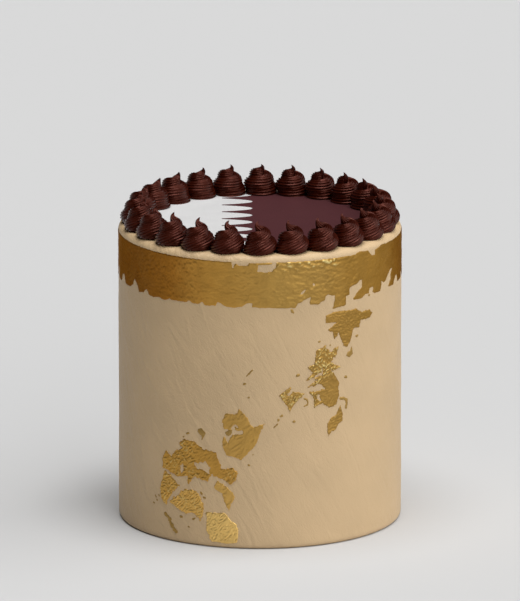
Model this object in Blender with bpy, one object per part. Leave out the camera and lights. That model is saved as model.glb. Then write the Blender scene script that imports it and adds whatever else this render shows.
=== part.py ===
"""Tall round cake with an inlaid flag on top, a ring of piped chocolate swirls and gold leaf.

Metres, +Z up.  The origin is the centre of the cake's foot, and -Y is its front.
Places on the cake's side are given unrolled: "along" is the arc length from the front,
positive towards +X, and "up" is the height above the foot.
"""
import math
import random

import bmesh
import bpy
from mathutils import Matrix, Vector

MM = 0.001
GAP = 0.3 * MM                      # clearance between pieces that touch

# Iced cake
CAKE_RADIUS = 80.0 * MM
CAKE_HEIGHT = 170.0 * MM
TOP_EDGE_RADIUS = 3.7 * MM
FOOT_EDGE_RADIUS = 2.5 * MM
CAKE_SEGMENTS = 64
TOP_EDGE_STEPS = 4
FOOT_EDGE_STEPS = 3

# Flag sheet, let into the icing
FLAG_RADIUS = 69.0 * MM
FLAG_THICKNESS = 0.6 * MM
FLAG_ARC_STEP = math.radians(9.0)
POINT_COUNT = 9                     # white points of the serrated edge
POINT_PITCH = 16.0 * MM
POINT_OFFSET = -0.5 * MM            # the middle point lies this far towards the back
POINT_FOOT_X = -21.6 * MM
POINT_TIP_X = -4.3 * MM
POINT_FOOT_HALF = 7.4 * MM
POINT_WAIST = 0.62                  # share of the length at which a point is WAIST_HALF wide
WAIST_HALF = 4.7 * MM

# Piped swirls: a ridged rope that is coiled from the middle of its foot outwards, then up and
# inwards to a pulled tip.  A swirl's own +X runs along the ring and its +Y towards the cake's axis.
SWIRL_COUNT = 24
RING_RADIUS = 69.5 * MM
SWIRL_SIZE_VARIATION = 0.010
SWIRL_TURN_VARIATION = math.radians(8.0)
ROPE_RADIUS = 4.6 * MM
ROPE_TAPER = 0.40                   # share of the rope's radius that is gone where the tip starts
COIL_RADIUS = 4.85 * MM             # from the swirl's axis to the rope's middle, where it is widest
WIDEST_TURN = 0.85
COIL_OPENING = 4.0 * MM
COIL_CLOSING = 1.5 * MM
COIL_CLOSING_POWER = 1.3
COIL_TURNS = 31.0 / 12.0
COIL_START = math.radians(-90.0)
FIRST_HEIGHT = -3.4 * MM            # the rope starts squashed below the foot's level
RISE_PER_TURN = 7.35 * MM
RISE_SLOWING = 0.5 * MM
STATIONS_PER_TURN = 12
POINTS_PER_ARC = 6                  # of the rope's section, from one crease of the coil to the next
LOWEST_CREASE = 0.4 * MM            # a crease nearer the foot than this is left out
RIDGE_DEPTH = 0.09                  # of the rope's radius
INNER_LIMIT = math.radians(118.0)   # how far the topmost turn reaches over into the dimple
DIMPLE = Vector((-0.9, -0.2, 10.6)) * MM
TIP_FIRST_ANGLE = math.radians(-60.0)
# Rings round the pulled tip: middle in millimetres, radius, and tilt from the rope's upright section
TIP_RINGS = (
    ((-1.6, 1.9, 14.2), 2.1 * MM, math.radians(25.0)),
    ((-2.1, 2.4, 15.4), 1.4 * MM, math.radians(60.0)),
    ((-1.8, 2.8, 16.5), 0.7 * MM, math.radians(90.0)),
)
TIP_POINT = Vector((-1.1, 3.1, 17.3)) * MM

# Gold leaf
LEAF_THICKNESS = 0.3 * MM
LEAF_STRIP = 2 * math.pi * CAKE_RADIUS / CAKE_SEGMENTS      # a leaf bends where the cake's facets meet
BAND_TOP = 166.5 * MM
BAND_FOOT = 140.6 * MM
BACK_NOTCH_STEP = (10.0, 19.0)
BACK_NOTCH_WIDTH = (3.0, 8.0)
BACK_NOTCH_HEIGHT = (2.0, 6.5)
BACK_NOTCH_LEAN = (-1.5, 1.5)
FRONT_REACH = 110.0                 # the named notches lie within this distance of the front

# Notches in the band's lower edge, each from its left end to its right one, as (along, up) in
# millimetres.  The eleventh ends and the twelfth starts at the foot of a tongue that hangs down.
BAND_FOOT_NOTCHES = (
    ((-107.5, 140.6), (-105.0, 145.0), (-101.5, 145.6), (-99.5, 140.6)),
    ((-92.5, 140.6), (-88.1, 143.1), (-87.3, 146.1), (-86.0, 146.1), (-83.6, 144.1), (-81.3, 140.0)),
    ((-76.4, 140.8), (-75.3, 142.3), (-73.8, 143.1), (-72.5, 142.0), (-71.8, 140.5)),
    ((-67.5, 139.8), (-63.1, 140.6), (-58.1, 139.8)),
    ((-56.0, 140.5), (-55.1, 141.4), (-54.0, 140.7)),
    ((-42.8, 140.9), (-42.3, 141.8), (-40.9, 141.8), (-39.6, 140.7)),
    ((-34.6, 140.8), (-34.0, 142.1), (-33.0, 142.2), (-31.9, 140.2)),
    ((-25.2, 140.8), (-24.3, 142.5), (-22.2, 142.6), (-20.3, 140.8)),
    ((-14.4, 140.2), (-10.0, 140.9), (-8.1, 142.5), (-6.5, 143.3), (-4.4, 142.9), (-4.2, 140.6)),
    ((20.2, 139.7), (21.5, 142.2), (24.1, 143.0), (25.7, 144.3), (27.9, 144.7), (28.7, 145.8),
     (29.5, 145.4), (28.5, 142.6), (28.7, 141.1)),
    ((34.1, 140.7), (35.4, 142.0), (37.7, 142.6), (38.4, 145.0), (40.0, 145.6), (42.4, 144.7),
     (44.4, 144.8), (43.8, 140.0), (42.6, 137.1)),
    ((51.8, 137.9), (51.7, 143.4), (54.3, 143.6), (54.2, 147.0), (55.0, 148.0), (59.1, 148.7),
     (62.5, 150.6), (63.7, 150.5), (63.8, 146.5), (60.8, 144.4), (57.2, 141.2), (57.5, 140.0)),
    ((63.4, 139.9), (66.5, 141.6), (69.4, 141.7), (70.5, 144.4), (73.1, 144.8), (73.7, 143.7),
     (72.8, 141.9), (75.0, 140.6)),
    ((80.6, 140.7), (82.0, 144.6), (81.6, 146.4), (84.1, 145.0), (86.3, 144.9), (90.6, 149.1),
     (93.8, 151.0), (95.6, 150.6), (93.2, 147.0), (93.8, 145.0), (89.7, 141.1)),
    ((97.5, 140.5), (99.5, 143.0), (101.5, 145.0), (104.0, 145.0), (105.5, 140.6)),
)
# The same for its upper edge, where the second is a bay under a thin strand
BAND_TOP_NOTCHES = (
    ((-16.3, 166.5), (-15.7, 163.1), (-14.9, 163.0), (-14.5, 164.9), (-13.4, 165.9), (-12.5, 165.1),
     (-11.2, 164.5), (-7.2, 164.7), (-6.2, 166.2)),
    ((7.0, 166.4), (6.7, 165.5), (-1.0, 165.2), (-1.4, 161.3), (3.5, 160.7), (6.4, 161.3),
     (8.9, 163.6), (9.2, 166.5)),
    ((52.5, 166.2), (55.0, 165.8), (58.7, 166.2), (61.9, 167.2), (65.6, 166.7)),
    ((68.8, 166.6), (70.6, 164.7), (72.2, 163.1), (75.0, 162.9), (75.3, 164.4), (74.7, 165.7),
     (78.1, 166.4), (81.9, 167.2), (87.5, 166.9)),
)

# Torn leaves on the side: outline first, then any holes, as (along, up) in millimetres.
LEAVES = {
    "gold_leaf_hand": (
        ((38.3, 133.5), (43.0, 135.0), (59.0, 134.7), (64.0, 131.8), (70.0, 132.3), (72.8, 129.6),
         (70.5, 127.0), (63.0, 127.8), (61.8, 123.5), (57.2, 123.6), (55.4, 117.5), (53.0, 113.6),
         (50.4, 114.5), (47.8, 120.0), (47.0, 123.0), (44.0, 119.2), (42.5, 123.8), (39.3, 125.0),
         (46.0, 128.7), (38.5, 129.5)),
    ),
    "gold_leaf_crumpled": (
        ((32.3, 114.2), (38.2, 116.0), (40.8, 112.0), (46.8, 115.0), (45.5, 110.5), (41.8, 106.4),
         (47.9, 102.4), (43.2, 101.2), (47.0, 93.5), (46.8, 84.3), (44.2, 80.6), (41.2, 80.0),
         (36.5, 83.0), (31.5, 81.2), (30.4, 87.5), (28.5, 90.0), (38.0, 91.3), (35.0, 94.6),
         (27.5, 93.2), (33.5, 97.6), (26.1, 97.0), (30.5, 101.6), (27.5, 104.4), (31.4, 106.5)),
    ),
    "gold_leaf_kite": (
        ((10.7, 89.3), (17.4, 94.2), (18.0, 91.6), (25.6, 89.6), (20.0, 84.6), (18.2, 82.0),
         (17.0, 78.8), (15.8, 82.6)),
    ),
    "gold_leaf_blade": (
        ((48.0, 80.6), (49.7, 74.0), (49.6, 71.0), (46.3, 69.3), (45.2, 66.6), (42.0, 66.0),
         (40.0, 62.8), (39.3, 70.5), (41.5, 73.6), (45.4, 75.6)),
    ),
    "gold_leaf_clasp": (
        ((-21.6, 73.0), (-19.5, 79.0), (-14.0, 78.0), (-11.6, 81.5), (-6.6, 76.0), (-4.0, 71.0),
         (2.6, 73.2), (0.0, 68.0), (-2.0, 61.5), (-7.5, 55.2), (-10.5, 52.2), (-19.0, 54.4),
         (-21.6, 60.5), (-20.4, 66.4), (-18.2, 61.0), (-15.4, 66.4), (-9.5, 67.0), (-9.5, 68.8),
         (-20.0, 69.4)),
    ),
    "gold_leaf_cloud": (
        ((-60.6, 47.5), (-58.0, 52.5), (-54.0, 49.6), (-50.5, 53.8), (-46.2, 55.6), (-48.4, 58.4),
         (-45.4, 60.8), (-38.4, 60.6), (-33.5, 57.0), (-25.2, 55.4), (-23.0, 49.5), (-21.4, 46.2),
         (-15.0, 46.8), (-12.3, 44.2), (-13.5, 40.0), (-16.6, 37.2), (-21.5, 40.2), (-27.6, 42.4),
         (-30.4, 38.0), (-38.5, 40.4), (-42.4, 33.8), (-43.0, 39.8), (-50.0, 38.6), (-55.5, 41.0),
         (-60.0, 42.0)),
        ((-38.0, 46.6), (-36.5, 48.4), (-31.5, 49.4), (-28.6, 45.8), (-29.4, 43.0), (-35.2, 45.2)),
    ),
    "gold_leaf_crest": (
        ((-58.6, 40.6), (-54.2, 38.6), (-48.0, 33.4), (-52.6, 29.6), (-56.4, 24.0), (-57.6, 20.5),
         (-60.4, 22.6), (-62.4, 30.0)),
    ),
    "gold_leaf_shell": (
        ((-55.0, 23.4), (-44.6, 32.2), (-37.6, 32.0), (-32.8, 25.6), (-32.6, 18.4), (-35.0, 15.2),
         (-39.5, 19.4), (-43.6, 17.8), (-50.2, 20.4)),
    ),
    "gold_leaf_feather": (
        ((-26.8, 35.0), (-24.0, 39.2), (-17.5, 35.0), (-13.8, 30.6), (-16.6, 25.0), (-17.4, 21.8),
         (-20.2, 27.2), (-21.4, 31.6)),
    ),
    "gold_leaf_foot": (
        ((-31.0, 20.2), (-19.5, 20.6), (-16.6, 16.4), (-12.9, 14.2), (-12.3, 8.0), (-12.8, 3.4),
         (-17.0, 2.9), (-27.6, 3.4), (-30.8, 9.6), (-30.6, 15.0)),
    ),
}

# Colours as seen, in sRGB from 0 to 255
ICING_COLOUR = (222, 194, 152)
WHITE_COLOUR = (226, 225, 225)
MAROON_COLOUR = (98, 50, 58)
CHOCOLATE_COLOUR = (74, 38, 30)
GOLD_COLOUR = (190, 148, 66)

VARIATION_SEED = 24


def clear_scene():
    for item in list(bpy.data.objects):
        bpy.data.objects.remove(item, do_unlink=True)


def linear(channel):
    """One sRGB channel, 0 to 255, as linear light."""
    share = channel / 255.0
    if share <= 0.04045:
        return share / 12.92
    return ((share + 0.055) / 1.055) ** 2.4


def make_material(name, colour, roughness, metallic=0.0):
    material = bpy.data.materials.new(name)
    material.use_nodes = True
    shader = material.node_tree.nodes["Principled BSDF"]
    rgba = [linear(channel) for channel in colour] + [1.0]
    shader.inputs["Base Color"].default_value = rgba
    shader.inputs["Roughness"].default_value = roughness
    shader.inputs["Metallic"].default_value = metallic
    material.diffuse_color = rgba
    return material


def finish_object(name, bm, material, smooth_angle=None):
    """Turn a bmesh into a closed, named object in the scene."""
    bmesh.ops.recalc_face_normals(bm, faces=bm.faces)
    if bm.calc_volume(signed=True) < 0.0:
        bmesh.ops.reverse_faces(bm, faces=bm.faces)
    mesh = bpy.data.meshes.new(name)
    bm.to_mesh(mesh)
    bm.free()
    mesh.materials.append(material)
    if smooth_angle is not None:
        mesh.shade_smooth()
        mesh.set_sharp_from_angle(angle=smooth_angle)
    item = bpy.data.objects.new(name, mesh)
    bpy.context.scene.collection.objects.link(item)
    return item


def arc_points(centre_r, centre_z, radius, start, end, steps):
    """Points of an arc in the (r, z) half-plane, without its first point."""
    points = []
    for step in range(1, steps + 1):
        angle = start + (end - start) * step / steps
        points.append((centre_r + radius * math.cos(angle), centre_z + radius * math.sin(angle)))
    return points


# ---------------------------------------------------------------- iced cake

def cake_profile():
    """Half outline of the cake, from the middle of its foot to the middle of the flag's recess."""
    recess_radius = (FLAG_RADIUS + GAP) / math.cos(math.pi / CAKE_SEGMENTS)
    recess_floor = CAKE_HEIGHT - FLAG_THICKNESS - GAP
    foot_r = CAKE_RADIUS - FOOT_EDGE_RADIUS
    top_r = CAKE_RADIUS - TOP_EDGE_RADIUS
    top_z = CAKE_HEIGHT - TOP_EDGE_RADIUS
    quarter = math.pi / 2
    profile = [(0.0, 0.0), (foot_r, 0.0)]
    profile += arc_points(foot_r, FOOT_EDGE_RADIUS, FOOT_EDGE_RADIUS, -quarter, 0.0, FOOT_EDGE_STEPS)
    profile.append((CAKE_RADIUS, top_z))
    profile += arc_points(top_r, top_z, TOP_EDGE_RADIUS, 0.0, quarter, TOP_EDGE_STEPS)
    profile += [(recess_radius, CAKE_HEIGHT), (recess_radius, recess_floor), (0.0, recess_floor)]
    return profile


def make_cake(material):
    bm = bmesh.new()
    verts = [bm.verts.new((r, 0.0, z)) for r, z in cake_profile()]
    edges = [bm.edges.new(pair) for pair in zip(verts, verts[1:])]
    bmesh.ops.spin(bm, geom=verts + edges, cent=(0, 0, 0), axis=(0, 0, 1), dvec=(0, 0, 0),
                   angle=2 * math.pi, steps=CAKE_SEGMENTS, use_merge=True)
    bmesh.ops.remove_doubles(bm, verts=bm.verts, dist=0.001 * MM)
    return finish_object("cake", bm, material, smooth_angle=math.radians(40))


# ---------------------------------------------------------------- flag sheet

def serrated_edge(clearance):
    """The flag's serrated line from back to front, moved towards +X and widened by clearance.

    The sharp tips move twice as far, which keeps the same gap along their slanting sides.
    """
    length = POINT_TIP_X - POINT_FOOT_X
    shape = (
        (POINT_FOOT_X, POINT_FOOT_HALF),
        (POINT_FOOT_X + POINT_WAIST * length, WAIST_HALF),
        (POINT_TIP_X, 0.0),
        (POINT_FOOT_X + POINT_WAIST * length, -WAIST_HALF),
        (POINT_FOOT_X, -POINT_FOOT_HALF),
    )
    line = []
    for index in range(POINT_COUNT):
        middle = (POINT_COUNT // 2 - index) * POINT_PITCH + POINT_OFFSET
        for x, half in shape:
            if half:
                line.append((x + clearance, middle + half + math.copysign(clearance, half)))
            else:
                line.append((x + 2 * clearance, middle))
    return line


def rim_arc(start, end):
    """Points on the flag's rim from one angle to another, without the ends."""
    steps = max(2, math.ceil(abs(end - start) / FLAG_ARC_STEP))
    points = []
    for step in range(1, steps):
        angle = start + (end - start) * step / steps
        points.append((FLAG_RADIUS * math.cos(angle), FLAG_RADIUS * math.sin(angle)))
    return points


def clip_to_rim(line):
    """The part of a line that lies on the sheet, with its two ends exactly on the rim."""
    inside = [point for point in line if math.hypot(*point) < FLAG_RADIUS - GAP]
    ends = []
    for x, y in (inside[0], inside[-1]):
        ends.append((x, math.copysign(math.sqrt(FLAG_RADIUS ** 2 - x * x), y)))
    return [ends[0]] + inside + [ends[1]]


def make_flag_field(name, clearance, towards_right, material):
    """One colour of the flag: everything on one side of the serrated line."""
    line = clip_to_rim(serrated_edge(clearance))
    back = math.atan2(line[0][1], line[0][0])
    front = math.atan2(line[-1][1], line[-1][0])
    if towards_right:
        rim = rim_arc(front, back)
    else:
        rim = rim_arc(front, back - 2 * math.pi)
    bm = bmesh.new()
    verts = [bm.verts.new((x, y, CAKE_HEIGHT - FLAG_THICKNESS)) for x, y in line + rim]
    face = bm.faces.new(verts)
    raised = bmesh.ops.extrude_face_region(bm, geom=[face])
    lifted = [item for item in raised["geom"] if isinstance(item, bmesh.types.BMVert)]
    bmesh.ops.translate(bm, verts=lifted, vec=(0, 0, FLAG_THICKNESS))
    bmesh.ops.triangulate(bm, faces=bm.faces)
    return finish_object(name, bm, material)


# ---------------------------------------------------------------- piped swirls

def rope_station(turns):
    """Angle, coil radius, height and own radius of the rope after a number of turns."""
    opening = max(WIDEST_TURN - turns, 0.0)
    closing = max(turns - WIDEST_TURN, 0.0)
    coil = COIL_RADIUS - COIL_OPENING * opening ** 2 - COIL_CLOSING * closing ** COIL_CLOSING_POWER
    height = FIRST_HEIGHT + RISE_PER_TURN * turns - RISE_SLOWING * turns ** 2
    rope = ROPE_RADIUS * (1.0 - ROPE_TAPER * (turns / COIL_TURNS) ** 3)
    return COIL_START + 2 * math.pi * turns, coil, height, rope


def outer_crossing(below, above):
    """Outer crossing of two sections of the rope, one turn apart, as (distance, height)."""
    reach = math.hypot(above[1] - below[1], above[2] - below[2])
    towards = ((above[1] - below[1]) / reach, (above[2] - below[2]) / reach)
    along = (below[3] ** 2 - above[3] ** 2 + reach ** 2) / (2 * reach)
    aside = math.sqrt(max(below[3] ** 2 - along ** 2, 0.0))
    return (below[1] + towards[0] * along + towards[1] * aside,
            below[2] + towards[1] * along - towards[0] * aside)


def foot_point(station):
    """Where the outer side of a section meets the cake, as (distance, height)."""
    return station[1] + math.sqrt(max(station[3] ** 2 - station[2] ** 2, 0.0)), 0.0


def arc_between(station, first, last):
    """Ridged points round a section, from one of its points to an angle or another point."""
    _, coil, height, rope = station
    start = math.atan2(first[1] - height, first[0] - coil)
    end = last if isinstance(last, float) else math.atan2(last[1] - height, last[0] - coil)
    groove = RIDGE_DEPTH * min(end - start, 1.0)
    points = [first]
    for index in range(1, POINTS_PER_ARC):
        angle = start + (end - start) * index / (POINTS_PER_ARC - 1)
        radius = rope * (1.0 - groove) if index % 2 == 0 else rope
        points.append((coil + radius * math.cos(angle), height + radius * math.sin(angle)))
    if not isinstance(last, float):
        points[-1] = last
    return points


def coil_rows():
    """For each station, the points of the rope that show between the creases below and above."""
    count = round(COIL_TURNS * STATIONS_PER_TURN)
    stations = [rope_station(index / STATIONS_PER_TURN) for index in range(count + 1)]
    starts = [foot_point(station) for station in stations[:STATIONS_PER_TURN]]
    hidden = set()
    for below, above in zip(stations, stations[STATIONS_PER_TURN:]):
        crossing = outer_crossing(below, above)
        if crossing[1] < LOWEST_CREASE:
            crossing = foot_point(above)
            hidden.add(len(starts) - STATIONS_PER_TURN)
        starts.append(crossing)
    rows = []
    for index, station in enumerate(stations):
        above = index + STATIONS_PER_TURN
        if index in hidden:
            row = [starts[above]] * POINTS_PER_ARC
        elif above <= count:
            row = arc_between(station, starts[index], starts[above])
        else:
            row = arc_between(station, starts[index], INNER_LIMIT)
        angle = station[0]
        rows.append([Vector((r * math.cos(angle), r * math.sin(angle), z)) for r, z in row])
    return rows


def tip_rings(sides):
    """Rings round the pulled tip, each standing more upright than the rope's end before it."""
    azimuth = rope_station(COIL_TURNS)[0]
    outwards = Vector((math.cos(azimuth), math.sin(azimuth), 0.0))
    onwards = Vector((-math.sin(azimuth), math.cos(azimuth), 0.0))
    rings = []
    for middle, radius, tilt in TIP_RINGS:
        upwards = Vector((0, 0, 1)) * math.cos(tilt) - onwards * math.sin(tilt)
        ring = []
        for index in range(sides):
            angle = TIP_FIRST_ANGLE + 2 * math.pi * index / sides
            ring.append(Vector(middle) * MM
                        + (outwards * math.cos(angle) + upwards * math.sin(angle)) * radius)
        rings.append(ring)
    return rings


def swirl_mesh():
    """The closed surface of one swirl as a bmesh, in its own axes."""
    rows = coil_rows()
    bm = bmesh.new()
    grid = [[bm.verts.new(point) for point in row] for row in rows]
    dimple = bm.verts.new(DIMPLE)
    for row, after in zip(grid, grid[1:]):
        for index in range(POINTS_PER_ARC - 1):
            bm.faces.new((row[index], row[index + 1], after[index + 1], after[index]))
    bm.faces.new([row[0] for row in grid[:STATIONS_PER_TURN]])
    last_turn = grid[-STATIONS_PER_TURN - 1:]
    for row, after in zip(last_turn, last_turn[1:]):
        bm.faces.new((row[-1], dimple, after[-1]))
    ring = grid[-1] + [dimple]
    for points in tip_rings(len(ring)):
        following = [bm.verts.new(point) for point in points]
        for index in range(len(ring)):
            after = (index + 1) % len(ring)
            bm.faces.new((ring[index], ring[after], following[after], following[index]))
        ring = following
    point = bm.verts.new(TIP_POINT)
    for index in range(len(ring)):
        bm.faces.new((ring[index], ring[(index + 1) % len(ring)], point))
    bmesh.ops.remove_doubles(bm, verts=bm.verts, dist=0.001 * MM)
    bmesh.ops.triangulate(bm, faces=bm.faces)
    return bm


def make_swirl(index, chance, material):
    """A swirl of the ring, turned with its place so that its tip always lies the same way."""
    size = 1.0 + chance.uniform(-SWIRL_SIZE_VARIATION, SWIRL_SIZE_VARIATION)
    turn = chance.uniform(-SWIRL_TURN_VARIATION, SWIRL_TURN_VARIATION)
    bm = swirl_mesh()
    bmesh.ops.scale(bm, verts=bm.verts, vec=(size, size, size))
    swirl = finish_object(f"swirl_{index + 1:02d}", bm, material, smooth_angle=math.radians(35))
    azimuth = 2 * math.pi * index / SWIRL_COUNT
    place = Vector((math.sin(azimuth), -math.cos(azimuth), 0.0)) * RING_RADIUS
    place.z = CAKE_HEIGHT + GAP
    swirl.matrix_world = Matrix.Translation(place) @ Matrix.Rotation(azimuth + turn, 4, "Z")
    return swirl


# ---------------------------------------------------------------- gold leaf

def wrap(along, radius, up):
    """A place on the unrolled side, as a point at a given radius from the cake's axis."""
    azimuth = along / CAKE_RADIUS
    return Vector((radius * math.sin(azimuth), -radius * math.cos(azimuth), up))


def fill_outline(bm, loops):
    """Flat triangles between an outline and its holes, on the unrolled side."""
    for loop in loops:
        verts = [bm.verts.new((along, 0.0, up)) for along, up in loop]
        for vert, after in zip(verts, verts[1:] + verts[:1]):
            bm.edges.new((vert, after))
    slice_into_strips(bm)
    bmesh.ops.triangle_fill(bm, edges=bm.edges[:], use_beauty=True, normal=(0, -1, 0))


def slice_into_strips(bm):
    """Cut the flat leaf along upright lines, so that it can follow the cake's curve."""
    low = min(vert.co.x for vert in bm.verts)
    high = max(vert.co.x for vert in bm.verts)
    for step in range(math.floor(low / LEAF_STRIP) + 1, math.ceil(high / LEAF_STRIP)):
        geometry = bm.verts[:] + bm.edges[:] + bm.faces[:]
        bmesh.ops.bisect_plane(bm, geom=geometry, plane_co=(step * LEAF_STRIP, 0, 0),
                               plane_no=(1, 0, 0), dist=0.01 * MM)


def make_leaf(name, loops, material, closes_round=False):
    """A thin leaf of the given outline, wrapped round the cake just off its icing."""
    bm = bmesh.new()
    fill_outline(bm, loops)
    slice_into_strips(bm)
    bmesh.ops.triangulate(bm, faces=bm.faces)
    raised = bmesh.ops.extrude_face_region(bm, geom=bm.faces[:])
    outer = {item for item in raised["geom"] if isinstance(item, bmesh.types.BMVert)}
    if closes_round:
        seam = math.pi * CAKE_RADIUS - 0.01 * MM
        ends = [face for face in bm.faces if all(abs(vert.co.x) > seam for vert in face.verts)]
        bmesh.ops.delete(bm, geom=ends, context="FACES")
    for vert in bm.verts:
        radius = CAKE_RADIUS + GAP + (LEAF_THICKNESS if vert in outer else 0.0)
        vert.co = wrap(vert.co.x, radius, vert.co.z)
    if closes_round:
        bmesh.ops.remove_doubles(bm, verts=bm.verts, dist=0.001 * MM)
    bmesh.ops.triangulate(bm, faces=bm.faces)
    return finish_object(name, bm, material, smooth_angle=math.radians(30))


def four_sided_notch(middle, width, rise, lean):
    """A notch that narrows upwards and leans sideways, in millimetres."""
    foot = BAND_FOOT / MM
    return (
        (middle - width / 2, foot),
        (middle - width / 4 + lean, foot + rise),
        (middle + width / 4 + lean, foot + rise),
        (middle + width / 2, foot),
    )


def back_notches(chance):
    """Notches round the back of the band, where they go on as they do in front."""
    half_way = math.pi * CAKE_RADIUS / MM
    notches = []
    for side in (-1, 1):
        along = FRONT_REACH + chance.uniform(*BACK_NOTCH_STEP) / 2
        while along < half_way - BACK_NOTCH_WIDTH[1]:
            width = chance.uniform(*BACK_NOTCH_WIDTH)
            rise = chance.uniform(*BACK_NOTCH_HEIGHT)
            lean = chance.uniform(*BACK_NOTCH_LEAN)
            notches.append(four_sided_notch(side * along, width, rise, lean))
            along += chance.uniform(*BACK_NOTCH_STEP)
    return tuple(notches)


def joined_edge(notches):
    """The points of all notches of one edge, from left to right."""
    return [(along * MM, up * MM) for notch in sorted(notches) for along, up in notch]


def make_gold_band(chance, material):
    """The band of gold leaf right round the cake, with a torn lower edge."""
    seam = math.pi * CAKE_RADIUS
    lower = joined_edge(BAND_FOOT_NOTCHES + back_notches(chance))
    upper = joined_edge(BAND_TOP_NOTCHES)
    outline = [(-seam, BAND_FOOT)] + lower + [(seam, BAND_FOOT), (seam, BAND_TOP)]
    outline += upper[::-1] + [(-seam, BAND_TOP)]
    return make_leaf("gold_band", [outline], material, closes_round=True)


def make_torn_leaves(material):
    for name, loops in LEAVES.items():
        scaled = [[(along * MM, up * MM) for along, up in loop] for loop in loops]
        make_leaf(name, scaled, material)


def main():
    clear_scene()
    chance = random.Random(VARIATION_SEED)
    icing = make_material("caramel_icing", ICING_COLOUR, 0.5)
    white = make_material("flag_white", WHITE_COLOUR, 0.6)
    maroon = make_material("flag_maroon", MAROON_COLOUR, 0.55)
    chocolate = make_material("chocolate_cream", CHOCOLATE_COLOUR, 0.4)
    gold = make_material("gold_leaf", GOLD_COLOUR, 0.35, metallic=1.0)
    make_cake(icing)
    make_flag_field("flag_white", 0.0, False, white)
    make_flag_field("flag_maroon", GAP, True, maroon)
    for index in range(SWIRL_COUNT):
        make_swirl(index, chance, chocolate)
    make_gold_band(chance, gold)
    make_torn_leaves(gold)


main()
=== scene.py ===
"""Looks of a tall round cake with an inlaid flag, piped chocolate swirls and gold leaf.

Lengths are in millimetres until a mesh is made, and metres from there on.  The origin is the
centre of the cake's foot, +Z is up and -Y is the front.  Places on the cake's side are given
unrolled: "along" is the arc length from the front, positive towards +X, and "up" is the height.
"""
import math
import random
from collections import namedtuple

import bpy
import numpy as np
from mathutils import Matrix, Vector


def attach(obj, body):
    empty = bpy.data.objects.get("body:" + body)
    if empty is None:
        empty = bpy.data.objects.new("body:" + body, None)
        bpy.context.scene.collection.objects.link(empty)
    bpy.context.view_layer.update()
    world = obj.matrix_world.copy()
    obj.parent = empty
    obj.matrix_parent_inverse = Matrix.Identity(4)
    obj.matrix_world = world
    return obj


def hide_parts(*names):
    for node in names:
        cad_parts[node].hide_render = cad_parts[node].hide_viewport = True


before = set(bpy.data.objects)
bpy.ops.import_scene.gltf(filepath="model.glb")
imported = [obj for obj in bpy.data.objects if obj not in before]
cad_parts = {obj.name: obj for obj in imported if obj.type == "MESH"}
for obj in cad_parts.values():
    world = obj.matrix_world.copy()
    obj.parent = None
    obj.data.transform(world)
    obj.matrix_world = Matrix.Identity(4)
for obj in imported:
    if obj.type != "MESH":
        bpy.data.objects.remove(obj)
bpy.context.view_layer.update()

join = np.concatenate
MM = 0.001
FULL_TURN = 2 * math.pi
BODY = "root"
LATTICE = 640  # cells after which the noise repeats

# Iced cake
CAKE_RADIUS = 80.0
CAKE_HEIGHT = 170.0
GIRTH = FULL_TURN * CAKE_RADIUS
TOP_EDGE_RADIUS = 3.7
TOP_EDGE_STEPS = 8
FOOT_EDGE_RADIUS = 2.5
FOOT_EDGE_STEPS = 6
CAKE_COLUMNS = 320
CAKE_ROWS = 96
RECESS_RADIUS = 69.25
RECESS_DEPTH = 0.9
RECESS_BEVEL = 0.15
RECESS_LIP = 0.2
AXIS_RADIUS = 0.01  # of the smallest rings, which lids close
FOOT_RINGS = (AXIS_RADIUS, 40.0, 72.0)
TOP_RINGS = (1.7, 3.5)  # inwards from the rounded edge
RECESS_RINGS = (60.0, 30.0, AXIS_RADIUS)
SIDE_MARGIN = 1.0  # rings further inside the full radius than this have no marks

# Spatula marks in the side: depth, width and height of their cells, seed and lean
SPATULA_MARKS = (
    (0.16, 60.0, 45.0, 1, 0.0),
    (0.07, 22.0, 30.0, 2, 0.5),
    (0.035, 6.0, 22.0, 3, 0.5),
)
FOOT_FADE = 8.0  # height over which the marks begin
TOP_FADE = (10.0, 3.0)  # and distances below the top between which they end

# Flag
FLAG_RADIUS = 69.0
FLAG_THICKNESS = 0.6
FLAG_GAP = 0.12  # between the two fields
RIM_MARGIN = 0.05
RIM_STEP = math.radians(1.5)
POINT_COUNT = 9
POINT_PITCH = 16.0
POINT_OFFSET = -0.5
POINT_FOOT_X = -21.6
POINT_LENGTH = 17.4
POINT_FOOT_HALF = 7.2
POINT_POWER = 0.47
POINT_STEPS = 24

# Piped swirls
SWIRL_COUNT = 24
RING_RADIUS = 69.5
SIZE_VARIATION = 0.010
TURN_VARIATION = math.radians(8.0)
VARIATION_SEED = 24
DETAIL_SEED = 25
COIL_START = math.radians(-90.0)
KEY_STEP = 0.25  # of a turn
ROPE_KEYS = np.array((  # coil radius, height and own radius, every quarter turn
    (1.90, -3.40, 4.60),
    (4.05, -1.45, 4.60),
    (4.80, 0.30, 4.60),
    (5.40, 1.90, 4.60),
    (5.15, 3.45, 4.60),
    (5.00, 4.85, 4.60),
    (4.45, 6.20, 4.40),
    (3.80, 7.65, 4.15),
    (3.15, 9.05, 4.00),
    (2.60, 10.45, 3.70),
    (1.85, 12.10, 2.85),
    (1.20, 14.00, 1.70),
))
ROPE_WAVES = ((0.010, 2.0), (0.008, 3.3))  # share of the rope's radius, and waves in a turn
STATIONS_PER_TURN = 72
STATION_COUNT = STATIONS_PER_TURN * 31 // 12
LAST_COVERED = STATION_COUNT - STATIONS_PER_TURN  # no turn of the rope lies over later stations
POINTS_PER_ARC = 54
FOOT_DEPTH = 0.3  # the swirls' foot is pressed this far into the icing
LOWEST_CREASE = -0.22
CREASE_FADE = 0.9  # the ridges fade out this near a crease
CREASE_FILL = 0.35  # cream that fills a crease, and how its depth varies round it
FILL_VARIATION = 0.2
FILL_WIDTH = 0.8
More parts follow.
